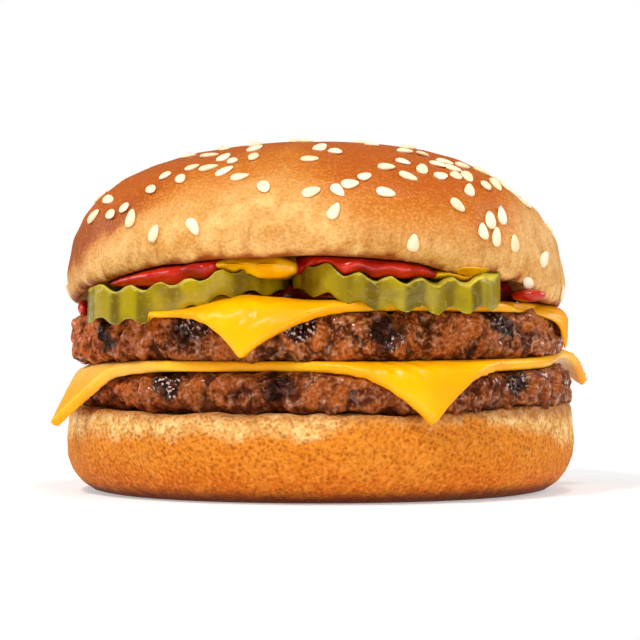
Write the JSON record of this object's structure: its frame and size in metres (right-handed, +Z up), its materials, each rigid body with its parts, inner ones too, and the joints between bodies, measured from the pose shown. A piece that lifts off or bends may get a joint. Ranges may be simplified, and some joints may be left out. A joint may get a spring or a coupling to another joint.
{
  "type": "double cheeseburger",
  "caption": "Double cheeseburger: seeded bun, two beef patties, melted cheese slices with draped corners, crinkle-cut pickle chips, ketchup and mustard, resting on a flat heel",
  "frame": {"origin": "centre of the heel's flat base, on the surface that the burger rests on", "axes": "+Z up; the front with the pickle chips faces -Y; +X to the right seen from the front"},
  "size_m": [0.1005, 0.0998, 0.0672],
  "materials": {
    "crown_bread": null,
    "heel_bread": "toasted porous bread side, pale along the cut, dark red-brown at the base; food",
    "beef": "flame-grilled ground beef, crumbly and greasy with charred patches; food",
    "cheese": "softly glossy melted yellow-orange cheese slice; food",
    "pickle": "wet yellow-olive crinkle-cut pickle with a darker speckled rind; food",
    "ketchup": "glossy red tomato sauce; food",
    "mustard": "glossy yellow mustard; food"
  },
  "bodies": {
    "root": {"heel": "heel_bread", "lower_patty": "beef", "lower_cheese": "cheese", "upper_patty": "beef", "upper_cheese": "cheese", "pickle_left": "pickle", "pickle_right": "pickle", "ketchup": "ketchup", "mustard_left": "mustard", "mustard_right": "mustard", "crown": "crown_bread"}
  },
  "joints": []
}
